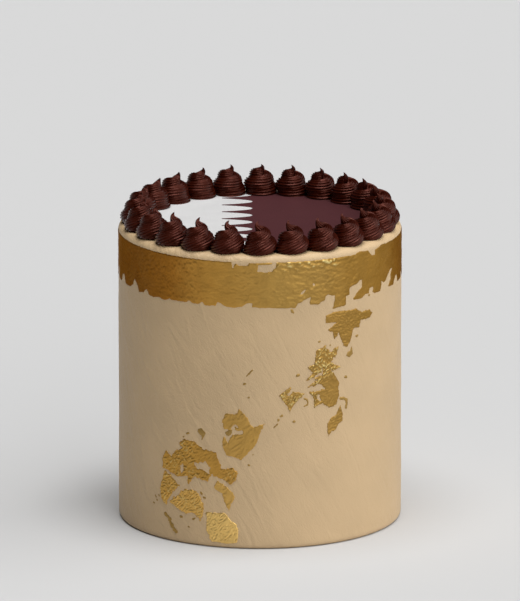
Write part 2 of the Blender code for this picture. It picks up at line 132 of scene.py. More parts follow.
INNER_LIMIT = math.radians(118.0)  # how far the topmost turn reaches over into the dimple
OPENING_STATIONS = 9.0  # over which it comes to reach that far
DIMPLE = np.array((-2.6, -0.8, 11.3))
FUNNEL_POINTS = 7
FUNNEL_BEND = 0.4  # of the rope's radius
FUNNEL_TO_STEM = (1.85, 2.25)  # turns between which the funnel leaves the dimple for the stem
RIDGE_COUNT = 16
RIDGE_DEPTH = 0.145  # of the rope's radius
RIDGE_POWER = 1.8
RIDGE_TWIST = 0.24
RIDGE_LEAN = 0.45
LEAN_VARIATION = 0.06
STEM_KEYS = np.array((  # middle and radius of the rope's end, pulled up to a curled tip
    (1.10, 1.90, 11.9, 2.85),
    (-0.10, 1.90, 12.8, 2.55),
    (-0.95, 2.00, 13.8, 2.00),
    (-1.42, 2.20, 14.7, 1.46),
    (-1.52, 2.50, 15.5, 1.03),
    (-1.35, 2.80, 16.2, 0.67),
    (-1.05, 3.00, 16.8, 0.38),
    (-0.68, 3.10, 17.3, 0.08),
))
STEM_STEPS = 4  # sections from one key to the next
STEM_POINTS = 72
STEM_RIDGES = 12
STEM_RIDGE_DEPTH = 0.16
STEM_RIDGE_POWER = 1.5
STEM_TWIST = 0.16
TIP_SHIFT = 0.35  # how far a tip may bend away from its usual place


# -------- helpers

def smooth(low, high, value):
    """0 below low, 1 above high and an even S between."""
    share = np.clip((value - low) / (high - low), 0.0, 1.0)
    return share * share * (3.0 - 2.0 * share)


def eased(share):
    """A share of the way across a cell of noise, with level ends."""
    return share ** 3 * (share * (share * 6 - 15) + 10)


def noise(x, y, seed, around=0):
    """Smooth noise, about -1 to 1 in cells of 1.  With around, it repeats after so many cells of x."""
    angles = np.random.default_rng(seed).random((LATTICE, LATTICE)) * FULL_TURN
    x0 = np.floor(x).astype(int)
    y0 = np.floor(y).astype(int)
    fx = x - x0
    fy = y - y0

    def corner(dx, dy):
        angle = angles[(x0 + dx) % (around or LATTICE), (y0 + dy) % LATTICE]
        return np.cos(angle) * (fx - dx) + np.sin(angle) * (fy - dy)

    low = corner(0, 0) * (1 - eased(fx)) + corner(1, 0) * eased(fx)
    high = corner(0, 1) * (1 - eased(fx)) + corner(1, 1) * eased(fx)
    return 1.5 * (low * (1 - eased(fy)) + high * eased(fy))


def side_noise(along, up, width, height, seed, lean=0.0):
    """Noise on the cake's side, in cells of width by height, that meets itself at the back."""
    cells = max(3, round(GIRTH / width))
    return noise((along + lean * up) / GIRTH * cells, up / height, seed, cells)


def leaf_noise(along, up, width, height, shift, seed):
    """Noise on one leaf, in cells of width by height; shift is its place in the lattice."""
    return noise(along / width + shift, up / height + shift, seed)


def wrap(along, radius, up):
    """Unrolled places as points at a given radius."""
    azimuth = along / CAKE_RADIUS
    return np.stack((radius * np.sin(azimuth), -radius * np.cos(azimuth), up), -1)


def add_object(name, data):
    item = bpy.data.objects.new(name, data)
    bpy.context.scene.collection.objects.link(item)
    return item


def add_piece(name, points, faces, material, nodes=()):
    """A smooth mesh piece on the cake's body, from points in millimetres."""
    mesh = bpy.data.meshes.new(name)
    mesh.from_pydata(np.asarray(points, float) * MM, [], faces)
    mesh.shade_smooth()
    mesh.materials.append(material)
    item = add_object(name, mesh)
    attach(item, BODY)
    if nodes:
        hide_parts(*nodes)
    return item


def between_rows(index):
    """Triangles between neighbouring rows and columns of point numbers."""
    a = index[:-1, :-1].ravel()
    b = index[:-1, 1:].ravel()
    c = index[1:, 1:].ravel()
    d = index[1:, :-1].ravel()
    return join((np.stack((a, b, c), 1), np.stack((a, c, d), 1)))


def quads(rows, columns, closed):
    """Triangles of a grid of points, counted row by row, that closes round if asked."""
    index = np.arange(rows * columns).reshape(rows, columns)
    if closed:
        index = join((index, index[:, :1]), 1)
    return between_rows(index)


def lid(ring):
    """Triangles that close a ring of point numbers from its first point."""
    return np.stack((np.full(len(ring) - 2, ring[0]), ring[1:-1], ring[2:]), 1)


def fan(middle, ring):
    """Triangles that close a ring of point numbers from a point in its middle."""
    return np.stack((np.full(len(ring), middle), ring, np.roll(ring, -1)), 1)


def pack(triangles):
    """The numbers of the points that triangles use, and the triangles numbered anew."""
    used, renumbered = np.unique(triangles, return_inverse=True)
    return used, renumbered.reshape(triangles.shape)


def weld(keys):
    """The first row of each kind of key, and for every row which kind it is."""
    _, first, kind = np.unique(keys, axis=0, return_index=True, return_inverse=True)
    return first, kind.ravel()


# -------- materials

NOISE_LOW = 0.3  # most of a noise texture lies between these
NOISE_HIGH = 0.7


def shade(colour, factor):
    return tuple(channel * factor for channel in colour)


class Finish:
    """A material and short ways to add its nodes."""

    def __init__(self, name, **sockets):
        self.material = bpy.data.materials.new(name)
        self.material.use_nodes = True
        self.tree = self.material.node_tree
        self.shader = self.tree.nodes["Principled BSDF"]
        self.fill(self.shader, sockets)
        self.place = self.add("ShaderNodeTexCoord").outputs["Object"]

    def add(self, kind, **sockets):
        node = self.tree.nodes.new(kind)
        self.fill(node, sockets)
        return node

    def fill(self, node, sockets):
        """Set sockets of a node, which are named with _ for a space."""
        for key, value in sockets.items():
            self.put(node.inputs[key.replace("_", " ")], value)

    def put(self, socket, value):
        """Link a node's output to a socket, or give the socket a value."""
        if isinstance(value, bpy.types.NodeSocket):
            self.tree.links.new(value, socket)
        else:
            socket.default_value = value

    def math(self, operation, first, second):
        node = self.tree.nodes.new("ShaderNodeMath")
        node.operation = operation
        self.put(node.inputs[0], first)
        self.put(node.inputs[1], second)
        return node.outputs[0]

    def scaled(self, vector, scale):
        return self.add("ShaderNodeMapping", Vector=vector, Scale=scale).outputs[0]

    def noise(self, size, detail=2.0, vector=None, roughness=0.5, bending=0.0):
        """Noise with features of that size in millimetres."""
        node = self.add("ShaderNodeTexNoise", Vector=vector or self.place, Scale=1.0 / (size * MM),
                        Detail=detail, Roughness=roughness, Distortion=bending)
        return node.outputs["Fac"]

    def ramp(self, factor, *stops):
        """Colours at places from 0 to 1, mixed between."""
        node = self.add("ShaderNodeValToRGB", Fac=factor)
        band = node.color_ramp
        while len(band.elements) < len(stops):
            band.elements.new(0.5)
        for element, (place, colour) in zip(band.elements, stops):
            element.position = place
            element.color = (*colour, 1.0)
        return node.outputs["Color"]

    def varied(self, factor, colour, darkest, lightest):
        """One colour times a share from darkest to lightest, by a noise."""
        return self.ramp(factor, (NOISE_LOW, shade(colour, darkest)), (NOISE_HIGH, shade(colour, lightest)))

    def blended(self, factor, first, second):
        """From the first colour to the second by a factor from 0 to 1."""
        node = self.tree.nodes.new("ShaderNodeMix")
        node.data_type = "RGBA"
        for index, value in ((0, factor), (6, first), (7, second)):
            self.put(node.inputs[index], value)
        return node.outputs[2]

    def dimmed(self, colour, factor):
        """A colour times a factor that varies over the surface."""
        node = self.tree.nodes.new("ShaderNodeVectorMath")
        node.operation = "SCALE"
        self.put(node.inputs["Vector"], colour)
        self.put(node.inputs["Scale"], factor)
        return node.outputs["Vector"]

    def values(self, factor, low, high, from_low=NOISE_LOW, from_high=NOISE_HIGH):
        """A factor stretched to run from low to high, and held there."""
        node = self.add("ShaderNodeMapRange", Value=factor, From_Min=from_low, From_Max=from_high,
                        To_Min=low, To_Max=high)
        return node.outputs["Result"]

    def bump(self, height, depth, strength=1.0, under=None):
        """Relief of a depth in millimetres, on top of another where one lies under it."""
        node = self.add("ShaderNodeBump", Height=height, Strength=strength, Distance=depth * MM)
        if under is not None:
            self.put(node.inputs["Normal"], under)
        return node.outputs["Normal"]

    def finish(self, colour=None, normal=None, roughness=None):
        for key, value in (("Base Color", colour), ("Normal", normal), ("Roughness", roughness)):
            if value is not None:
                self.put(self.shader.inputs[key], value)
        return self.material


# Colours as linear light
ICING = (0.575, 0.407, 0.226)
WHITE = (0.575, 0.571, 0.569)
MAROON = (0.0665, 0.0182, 0.0206)
CHOCOLATE = (0.0275, 0.0033, 0.00105)
CHOCOLATE_GLOSS = (1.0, 0.34, 0.25, 1.0)
GOLD = (0.38, 0.22, 0.058)
FLECK_GOLD = (0.41, 0.258, 0.080)
GOLD_EDGE = (0.50, 0.30, 0.12, 1.0)  # tint of its gloss at grazing angles
PAINTED_HIGHLIGHT_GOLD = (0.72, 0.58, 0.24, 1.0)  # painted highlight on the tops of its wrinkles
# Band colour painted with shade and light by place round the cake: darkest towards both sides seen from the
# front (near -84 and 116), brightest just left of the front, mid at the back.
BAND_PAINTED_SHADE = (  # place along the side and colour
    (-180.0, (0.36, 0.20, 0.050)),
    (-108.0, (0.245, 0.138, 0.048)),
    (-84.0, (0.232, 0.109, 0.031)),
    (-66.0, (0.285, 0.120, 0.021)),
    (-54.0, (0.355, 0.152, 0.023)),
    (-42.0, (0.46, 0.227, 0.042)),
    (-26.0, (0.54, 0.29, 0.059)),
    (-8.0, (0.525, 0.30, 0.070)),
    (10.0, (0.466, 0.28, 0.072)),
    (36.0, (0.405, 0.24, 0.061)),
    (54.0, (0.365, 0.203, 0.044)),
    (72.0, (0.393, 0.217, 0.050)),
    (92.0, (0.385, 0.219, 0.065)),
    (104.0, (0.322, 0.178, 0.052)),
    (116.0, (0.26, 0.142, 0.030)),
    (180.0, (0.36, 0.20, 0.050)),
)
SHADE_BORDER_WANDER = 0.006  # of the way round, by which a border between painted shades wanders
# mesh attribute that carries the painted highlight on wrinkle tops
PAINTED_HIGHLIGHT_LAYER = "crest"
FLOOR = (0.54, 0.54, 0.54)

WRINKLE_WINDING = 6.0  # radians round the cake for each metre of height
GRAIN_STRETCH = (1.0, 1.0, 0.55)
CREASE_STRETCH = (1.0, 1.0, 0.30)
DEEPEST_X = -0.035  # metres; further left the wrinkles are deepest
SHALLOWEST_X = 0.010  # and further right shallowest


def make_icing():
    """Smooth buttercream with fine spatula wrinkles, deeper on the left, that run down to the right."""
    finish = Finish("caramel_icing", Roughness=0.52)
    axes = finish.add("ShaderNodeSeparateXYZ", Vector=finish.place)
    winding = finish.tree.nodes.new("ShaderNodeVectorRotate")
    winding.rotation_type = "Z_AXIS"
    finish.put(winding.inputs["Vector"], finish.place)
    finish.put(winding.inputs["Angle"], finish.math("MULTIPLY", axes.outputs["Z"], WRINKLE_WINDING))
    wound = winding.outputs["Vector"]
    grain = finish.noise(size=1.7, vector=finish.scaled(wound, GRAIN_STRETCH), roughness=0.6, bending=1.6)
    creases = finish.noise(size=12.0, detail=1.0, vector=finish.scaled(wound, CREASE_STRETCH), bending=2.0)
    deeper = finish.values(axes.outputs["X"], 1.5, 0.65, from_low=DEEPEST_X, from_high=SHALLOWEST_X)
    normal = finish.bump(finish.math("MULTIPLY", creases, deeper), depth=0.9, strength=0.5)
    normal = finish.bump(finish.math("MULTIPLY", grain, deeper), depth=0.45, strength=0.6, under=normal)
    normal = finish.bump(finish.noise(size=0.8), depth=0.10, strength=0.5, under=normal)
    colour = finish.varied(finish.noise(size=30.0), ICING, 0.96, 1.04)
    return finish.finish(colour, normal, finish.values(grain, 0.46, 0.6))


def make_sugar(name, colour, roughness):
    """Matt sugar sheet with a fine even tooth."""
    finish = Finish(name, Roughness=roughness, Specular_IOR_Level=0.25)
    tooth = finish.noise(size=0.6)
    mixed = finish.varied(finish.noise(size=14.0), colour, 0.97, 1.03)
    normal = finish.bump(tooth, depth=0.05, strength=0.5)
    return finish.finish(mixed, normal, finish.values(tooth, roughness - 0.04, roughness + 0.04))


def make_chocolate():
    """Satin piped cream, a little uneven in its brown."""
    finish = Finish("chocolate_cream", Roughness=0.4, Specular_IOR_Level=0.42, Specular_Tint=CHOCOLATE_GLOSS)
    cloud = finish.noise(size=6.0)
    mixed = finish.varied(cloud, CHOCOLATE, 0.85, 1.2)
    normal = finish.bump(finish.noise(size=0.9), depth=0.06, strength=0.5)
    return finish.finish(mixed, normal, finish.values(cloud, 0.25, 0.32))


def make_gold(name, colour=None):
    """Beaten leaf: fine mottles over the wrinkles of the mesh, in one colour or the band's painted shade
    round the cake, with a painted highlight on the tops of its wrinkles.
    """
    finish = Finish(name, Roughness=0.45, Metallic=1.0, Specular_Tint=GOLD_EDGE)
    mottle = finish.noise(size=1.1, detail=3.0)
    cloud = finish.noise(size=9.0)
    if colour:
        mixed = finish.varied(cloud, colour, 0.92, 1.08)
    else:
        # the band's colour carries painted shade and painted light by its place round the cake
        mixed = finish.dimmed(band_painted_shade(finish), finish.values(cloud, 0.92, 1.08))
    # painted highlight: the tops of the wrinkles are lightened toward pale gold
    crest = finish.add("ShaderNodeAttribute")
    crest.attribute_name = PAINTED_HIGHLIGHT_LAYER
    mixed = finish.blended(crest.outputs["Fac"], mixed, PAINTED_HIGHLIGHT_GOLD)
    normal = finish.bump(mottle, depth=0.16, strength=0.8)
    return finish.finish(mixed, normal, finish.values(mottle, 0.38, 0.52))


def band_painted_shade(finish):
    """Painted shade and painted light on the band by its place round the cake, darker towards both sides
    seen from the front, with uneven borders.
    """
    place = finish.add("ShaderNodeSeparateXYZ", Vector=finish.place)
    towards_front = finish.math("MULTIPLY", place.outputs["Y"], -1.0)
    azimuth = finish.math("ARCTAN2", place.outputs["X"], towards_front)
    share = finish.math("ADD", finish.math("DIVIDE", azimuth, FULL_TURN), 0.5)
    wander = finish.values(finish.noise(size=5.0, detail=3.0), -SHADE_BORDER_WANDER, SHADE_BORDER_WANDER)
    stops = [(along / GIRTH + 0.5, colour) for along, colour in BAND_PAINTED_SHADE]
    return finish.ramp(finish.math("ADD", share, wander), *stops)


# -------- iced cake

def side_relief(along, up):
    """How far the iced side stands out from its true radius, in millimetres."""
    marks = sum(depth * side_noise(along, up, *cells) for depth, *cells in SPATULA_MARKS)
    ending = smooth(CAKE_HEIGHT - TOP_FADE[0], CAKE_HEIGHT - TOP_FADE[1], up)
    return marks * smooth(0.0, FOOT_FADE, up) * (1.0 - ending)


def rounded_edge(radius, height, edge, start, steps):
    """Points of a quarter round about a middle at that radius and height, from a start angle."""
    angles = [start + math.pi / 2 * step / steps for step in range(steps + 1)]
    return [(radius + edge * math.cos(angle), height + edge * math.sin(angle)) for angle in angles]


def cake_profile():
    """Half outline from the middle of the foot to the middle of the flag's recess."""
    rows = [(radius, 0.0) for radius in FOOT_RINGS]
    foot = CAKE_RADIUS - FOOT_EDGE_RADIUS
    rows += rounded_edge(foot, FOOT_EDGE_RADIUS, FOOT_EDGE_RADIUS, -math.pi / 2, FOOT_EDGE_STEPS)
    top = CAKE_HEIGHT - TOP_EDGE_RADIUS
    rows += [(CAKE_RADIUS, up) for up in np.linspace(FOOT_EDGE_RADIUS, top, CAKE_ROWS + 1)[1:-1]]
    rim = CAKE_RADIUS - TOP_EDGE_RADIUS
    rows += rounded_edge(rim, top, TOP_EDGE_RADIUS, 0.0, TOP_EDGE_STEPS)
    rows += [(rim - inwards, CAKE_HEIGHT) for inwards in TOP_RINGS]
    rows += [(RECESS_RADIUS + RECESS_LIP, CAKE_HEIGHT), (RECESS_RADIUS, CAKE_HEIGHT - RECESS_BEVEL)]
    rows += [(radius, CAKE_HEIGHT - RECESS_DEPTH) for radius in (RECESS_RADIUS, *RECESS_RINGS)]
    return np.array(rows)


def make_cake(material):
    """The half outline turned round the axis, with spatula marks on its side."""
    profile = cake_profile()
    azimuth = FULL_TURN * np.arange(CAKE_COLUMNS) / CAKE_COLUMNS
    along, up = np.meshgrid(azimuth * CAKE_RADIUS, profile[:, 1])
    radius = np.repeat(profile[:, :1], CAKE_COLUMNS, 1)
    on_side = radius > CAKE_RADIUS - SIDE_MARGIN
    radius = radius + np.where(on_side, side_relief(along, up), 0.0)
    first_ring = np.arange(CAKE_COLUMNS)
    last_ring = first_ring + (len(profile) - 1) * CAKE_COLUMNS
    faces = [quads(len(profile), CAKE_COLUMNS, True), lid(first_ring)[:, ::-1], lid(last_ring)]
    points = wrap(along, radius, up).reshape(-1, 3)
    add_piece("iced_cake", points, join(faces), material, ["cake"])


# -------- flag

def serrated_line():
    """The flag's serrated line from back to front: white points with bulging sides."""
    line = []
    shares = [step / POINT_STEPS for step in range(POINT_STEPS + 1)]
    for index in range(POINT_COUNT):
        middle = (POINT_COUNT // 2 - index) * POINT_PITCH + POINT_OFFSET
        upper = [(POINT_FOOT_X + POINT_LENGTH * share, middle + POINT_FOOT_HALF * (1 - share) ** POINT_POWER)
                 for share in shares]
        lower = [(x, 2 * middle - y) for x, y in upper[-2::-1]]
        line += upper + lower
    return line


def sheet_outline(line, gap, to_right):
    """One field's outline: its side of the serrated line and the rim that closes it."""
    moved = [(x + gap, y) for x, y in line]
    inside = [point for point in moved if math.hypot(*point) < FLAG_RADIUS - RIM_MARGIN]
    ends = [(x, math.copysign(math.sqrt(FLAG_RADIUS ** 2 - x * x), y)) for x, y in (inside[0], inside[-1])]
    back = math.atan2(ends[0][1], ends[0][0])
    front = math.atan2(ends[1][1], ends[1][0])
    if not to_right:
        back -= FULL_TURN
    steps = max(2, round(abs(back - front) / RIM_STEP))
    rim = []
    for step in range(1, steps):
        angle = front + (back - front) * step / steps
        rim.append((FLAG_RADIUS * math.cos(angle), FLAG_RADIUS * math.sin(angle)))
    return [ends[0]] + inside + [ends[1]] + rim


def make_flag_sheet(node, gap, to_right, material):
    """A flat sheet with upright edges, level with the icing."""
    outline = np.array(sheet_outline(serrated_line(), gap, to_right))
    count = len(outline)
    top = np.column_stack((outline, np.full(count, CAKE_HEIGHT)))
    foot = np.column_stack((outline, np.full(count, CAKE_HEIGHT - FLAG_THICKNESS)))
    faces = [list(range(count)), list(range(2 * count - 1, count - 1, -1))]
    for index in range(count):
        after = (index + 1) % count
        faces.append([after, index, count + index, count + after])
    item = add_piece(node + "_sheet", join((top, foot)), faces, material, [node])
    item.data.shade_flat()


# -------- piped swirls

Rope = namedtuple("Rope", "azimuth coil height radius")  # of its middle at every station


def between_keys(keys, low, part):
    """Smooth curve through the keys, at a share of the way from the key called low to the next."""
    before, start = keys[np.maximum(low - 1, 0)], keys[low]
    end, after = keys[low + 1], keys[np.minimum(low + 2, len(keys) - 1)]
    return 0.5 * (2 * start + (end - before) * part + (2 * before - 5 * start + 4 * end - after) * part ** 2
                  + (3 * start - before - 3 * end + after) * part ** 3)


def coiled_rope(phases):
    """The rope at every station, a little thicker and thinner in waves."""
    turns = np.arange(STATION_COUNT + 1) / STATIONS_PER_TURN
    low = np.minimum((turns / KEY_STEP).astype(int), len(ROPE_KEYS) - 2)
    coil, height, radius = between_keys(ROPE_KEYS, low, (turns / KEY_STEP - low)[:, None]).T
    azimuth = COIL_START + FULL_TURN * turns
    waves = sum(depth * np.sin(count * azimuth + phase) for (depth, count), phase in zip(ROPE_WAVES, phases))
    return Rope(azimuth, coil, height, radius * (1.0 + waves))


def crossing(rope, below, above):
    """Outer crossing of the rope's sections at two stations, as (distance, height)."""
    across = rope.coil[above] - rope.coil[below]
    rise = rope.height[above] - rope.height[below]
    reach = math.hypot(across, rise)
    along = (rope.radius[below] ** 2 - rope.radius[above] ** 2 + reach ** 2) / (2 * reach)
    aside = math.sqrt(max(rope.radius[below] ** 2 - along ** 2, 0.0))
    return (rope.coil[below] + (across * along + rise * aside) / reach,
            rope.height[below] + (rise * along - across * aside) / reach)


def lower_edges(rope):
    """Where each section starts to show, as (distance, height), and the sections that never do."""
    starts = []
    hidden = []
    for index in range(STATION_COUNT + 1):
        above_foot = rope.height[index] + FOOT_DEPTH
        reach = math.sqrt(max(rope.radius[index] ** 2 - above_foot ** 2, 0.0))
        start = foot = (rope.coil[index] + reach, -FOOT_DEPTH)
        if index >= STATIONS_PER_TURN:
            start = crossing(rope, index - STATIONS_PER_TURN, index)
            if start[1] < LOWEST_CREASE:
                start = foot
                hidden.append(index - STATIONS_PER_TURN)
        starts.append(start)
    return np.array(starts), hidden


def arc_limits(rope, starts):
    """First and last angle of the arc of each section that shows."""
    first = np.arctan2(starts[:, 1] - rope.height, starts[:, 0] - rope.coil)
    covered = slice(0, LAST_COVERED + 1)
    ends = starts[STATIONS_PER_TURN:]
    last = np.full(STATION_COUNT + 1, INNER_LIMIT)
    last[covered] = np.arctan2(ends[:, 1] - rope.height[covered], ends[:, 0] - rope.coil[covered])
    opened = smooth(0.0, OPENING_STATIONS, np.arange(STATIONS_PER_TURN + 1))
    last[LAST_COVERED:] = last[LAST_COVERED] + (INNER_LIMIT - last[LAST_COVERED]) * opened
    return first, last


def ridge(angle, azimuth, phase, lean):
    """Ridge height from 0 to 1: rounded crests between rounded grooves."""
    turn = RIDGE_COUNT * (angle - RIDGE_TWIST * azimuth - lean * np.cos(azimuth)) + phase
    return 1.0 - np.abs(np.sin(turn / 2)) ** RIDGE_POWER


def ridged_points(rope, starts, first, last, phase, lean):
    """Points of every section's arc, with ridges that fade and cream that fills up at the creases."""
    azimuth, coil, height, radius = (values[:, None] for values in rope)
    first, last = first[:, None], last[:, None]
    at_foot = starts[:, 1:] < 0.0
    covered = (np.arange(STATION_COUNT + 1) <= LAST_COVERED)[:, None]
    angle = first + (last - first) * np.linspace(0.0, 1.0, POINTS_PER_ARC)
    from_start = (angle - first) * radius
    from_end = (last - angle) * radius
    start_fade = np.where(at_foot, 1.0, smooth(0.0, CREASE_FADE, from_start))
    end_fade = np.where(covered, smooth(0.0, CREASE_FADE, from_end), 1.0)
    groove = RIDGE_DEPTH * (1.0 - ridge(angle, azimuth, phase, lean))
    reach = radius * (1.0 - groove * start_fade * end_fade)
    fill = CREASE_FILL - FILL_VARIATION * np.cos(azimuth)
    distance = coil + reach * np.cos(angle)
    distance += np.where(at_foot, 0.0, fill * np.exp(-(from_start / FILL_WIDTH) ** 2))
    distance += np.where(covered, fill * np.exp(-(from_end / FILL_WIDTH) ** 2), 0.0)
    level = height + reach * np.sin(angle)
    return np.stack((distance * np.cos(azimuth), distance * np.sin(azimuth), level), -1)


def shared_numbers(hidden):
    """Point numbers of the arcs, shared where turns meet, and one number where a section is hidden."""
    rows = STATION_COUNT + 1
    index = np.arange(rows * POINTS_PER_ARC).reshape(rows, POINTS_PER_ARC)
    index[:LAST_COVERED + 1, -1] = index[STATIONS_PER_TURN:, 0]
    for row in hidden:
        index[row, :] = index[row + STATIONS_PER_TURN, 0]
    return index


def funnel_points(rope, edge, last):
    """Lines from the topmost turn down into the dimple, and for its last half into the stem."""
    top = np.arange(LAST_COVERED, STATION_COUNT + 1)
    azimuth, angle = rope.azimuth[top], last[top]
    inwards = -np.sin(angle)
    tangent = np.stack((inwards * np.cos(azimuth), inwards * np.sin(azimuth), np.cos(angle)), -1)
    bend = edge + tangent * (FUNNEL_BEND * rope.radius[top])[:, None]
    towards_stem = smooth(*FUNNEL_TO_STEM, top / STATIONS_PER_TURN)[:, None]
    target = DIMPLE + (STEM_KEYS[1, :3] - DIMPLE) * towards_stem
    steps = np.linspace(0.0, 1.0, FUNNEL_POINTS + 1)[1:]
    return np.stack([(1 - s) ** 2 * edge + 2 * s * (1 - s) * bend + s * s * target for s in steps], 1)


def swirl_surface(chance):
    """Points and triangles of one fine swirl, in its own axes."""
    phase = chance.uniform(0.0, FULL_TURN)
    lean = RIDGE_LEAN + chance.uniform(-LEAN_VARIATION, LEAN_VARIATION)
    rope = coiled_rope([chance.uniform(0.0, FULL_TURN) for _ in ROPE_WAVES])
    tip_bend = np.array([chance.uniform(-TIP_SHIFT, TIP_SHIFT) for _ in range(3)])
    starts, hidden = lower_edges(rope)
    first, last = arc_limits(rope, starts)
    points = ridged_points(rope, starts, first, last, phase, lean).reshape(-1, 3)
    index = shared_numbers(hidden)
    edge = index[LAST_COVERED:, -1]
    funnel = funnel_points(rope, points[edge], last).reshape(-1, 3)
    funnel_index = len(points) + np.arange(len(funnel)).reshape(-1, FUNNEL_POINTS)
    lines = join((edge[:, None], funnel_index), 1)

    # the foot's middle, and inside the stem the middle of the rope's end
    foot_middle = len(points) + len(funnel)
    end_middle = foot_middle + 1
    distance, azimuth = rope.coil[-1], rope.azimuth[-1]
    middles = ((0.0, 0.0, -FOOT_DEPTH),
               (math.cos(azimuth) * distance, math.sin(azimuth) * distance, rope.height[-1]))
    end_ring = join((index[-1], lines[-1, 1:], lines[-2::-1, -1], lines[0, -2:0:-1]))
    stem, stem_faces = swirl_stem(phase, tip_bend)
    faces = join((
        between_rows(index.T),
        between_rows(lines.T),
        fan(foot_middle, index[:STATIONS_PER_TURN, 0][::-1]),
        fan(end_middle, end_ring),
        stem_faces + end_middle + 1,
    ))
    real = (faces[:, 0] != faces[:, 1]) & (faces[:, 1] != faces[:, 2]) & (faces[:, 2] != faces[:, 0])
    used, faces = pack(faces[real])
    return join((points, funnel, middles, stem))[used], faces


def swirl_stem(phase, bend):
    """Points and triangles of the rope's ridged end, pulled up out of the coil to a curled tip."""
    at = np.arange((len(STEM_KEYS) - 1) * STEM_STEPS + 1) / STEM_STEPS
    low = np.minimum(at.astype(int), len(STEM_KEYS) - 2)
    keys = between_keys(STEM_KEYS, low, (at - low)[:, None])
    middle = keys[:, :3] + bend * ((at / at[-1]) ** 2)[:, None]
    radius = keys[:, 3]
    onwards = np.gradient(middle, axis=0)
    onwards /= np.linalg.norm(onwards, axis=1)[:, None]
    across = np.cross(onwards, (0.0, 1.0, 0.0))
    across /= np.linalg.norm(across, axis=1)[:, None]
    behind = np.cross(across, onwards)
    angle = FULL_TURN * np.arange(STEM_POINTS) / STEM_POINTS
    turn = STEM_RIDGES * (angle[None, :] - STEM_TWIST * at[:, None]) + phase
    reach = radius[:, None] * (1.0 - STEM_RIDGE_DEPTH * np.abs(np.sin(turn / 2)) ** STEM_RIDGE_POWER)
    points = (middle[:, None] + (reach * np.cos(angle))[..., None] * across[:, None]
              + (reach * np.sin(angle))[..., None] * behind[:, None]).reshape(-1, 3)
    first_ring = np.arange(STEM_POINTS)
    last_ring = first_ring + len(points) - STEM_POINTS
    faces = (quads(len(at), STEM_POINTS, True), lid(first_ring)[:, ::-1], lid(last_ring))
    return points, join(faces)


def make_swirls(material):
    """The ring of swirls, each turned with its place so that its tip lies the same way."""
    chance = random.Random(VARIATION_SEED)
    draws = []
    for _ in range(SWIRL_COUNT):
        size = 1.0 + chance.uniform(-SIZE_VARIATION, SIZE_VARIATION)
        draws.append((size, chance.uniform(-TURN_VARIATION, TURN_VARIATION)))
    detail = random.Random(DETAIL_SEED)
    for number, (size, turn) in enumerate(draws):
        points, faces = swirl_surface(detail)
        azimuth = FULL_TURN * number / SWIRL_COUNT
        sine, cosine = math.sin(azimuth + turn), math.cos(azimuth + turn)
        spin = np.array(((cosine, -sine, 0), (sine, cosine, 0), (0, 0, 1)))
        place = np.array((math.sin(azimuth) * RING_RADIUS, -math.cos(azimuth) * RING_RADIUS, CAKE_HEIGHT))
        node = f"swirl_{number + 1:02d}"
        add_piece(node + "_cream", points * size @ spin.T + place, faces, material, [node])


# -------- gold leaf

LEAF_STEP = 0.36  # size of a leaf's cells
LEAF_MARGIN = 1.2
LEAF_LIFT = 0.13
LEAF_MIDDLE = 0.45  # of a solid leaf, off the icing: its outer face lies beyond
EDGE_LIFT = 0.05  # a leaf's edge stands this far off the icing
BACK_DEPTH = 0.12  # and its back lies this far in it
BEVEL = (-0.1, 0.28)  # distances from the edge over which a leaf rises
HIGHLIGHT_RISE = (0.24, 0.50)  # heights between which a wrinkle's top gets the painted highlight
KEYS_PER_MM = 50  # points of a solid that are nearer than that are one
CUT_MARGIN = 0.03  # share of an edge by which a cut keeps off its ends
TINY = 1e-9
FEWEST_TRIANGLES = 12  # smaller crumbs of a leaf are left out
CREASE_SHARPNESS = 2.2


def unrolled_edges(node):
    """Border of a leaf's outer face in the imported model, as rows of (along, up, along, up)."""
    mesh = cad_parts[node].data
    points = np.empty(len(mesh.vertices) * 3, np.float32)
    mesh.vertices.foreach_get("co", points)
    points = points.reshape(-1, 3).astype(float) / MM
    mesh.calc_loop_triangles()
    triangles = np.empty(len(mesh.loop_triangles) * 3, np.int32)
    mesh.loop_triangles.foreach_get("vertices", triangles)
    first, kind = weld(np.round(points * KEYS_PER_MM).astype(int))
    points = points[first]
    triangles = kind[triangles].reshape(-1, 3)
    outer = np.hypot(points[:, 0], points[:, 1]) > CAKE_RADIUS + LEAF_MIDDLE
    border = border_edges(triangles[outer[triangles].all(1)])
    along = np.arctan2(points[:, 0], -points[:, 1]) * CAKE_RADIUS
    start = along[border[:, 0]]
    step = along[border[:, 1]] - start
    step -= np.round(step / GIRTH) * GIRTH
    return np.stack((start, points[border[:, 0], 2], start + step, points[border[:, 1], 2]), 1)


def border_edges(triangles):
    """Edges that only one triangle uses, as that triangle runs along them."""
    edges = join((triangles[:, :2], triangles[:, 1:], triangles[:, ::2][:, ::-1]))
    _, place, count = np.unique(np.sort(edges, 1), axis=0, return_index=True, return_counts=True)
    return edges[place[count == 1]]


def loop_edges(outline):
    ends = np.array(outline, float)
    return join((ends, np.roll(ends, -1, 0)), 1)


def edge_distance(points, edges):
    """Distance of each point to the nearest of the edges."""
    nearest = np.full(len(points), np.inf)
    for start, end in zip(edges[:, :2], edges[:, 2:]):
        way = end - start
        share = np.clip(((points - start) @ way) / max((way ** 2).sum(), TINY), 0.0, 1.0)
        away = points - (start + share[:, None] * way)
        nearest = np.minimum(nearest, (away ** 2).sum(1))
    return np.sqrt(nearest)


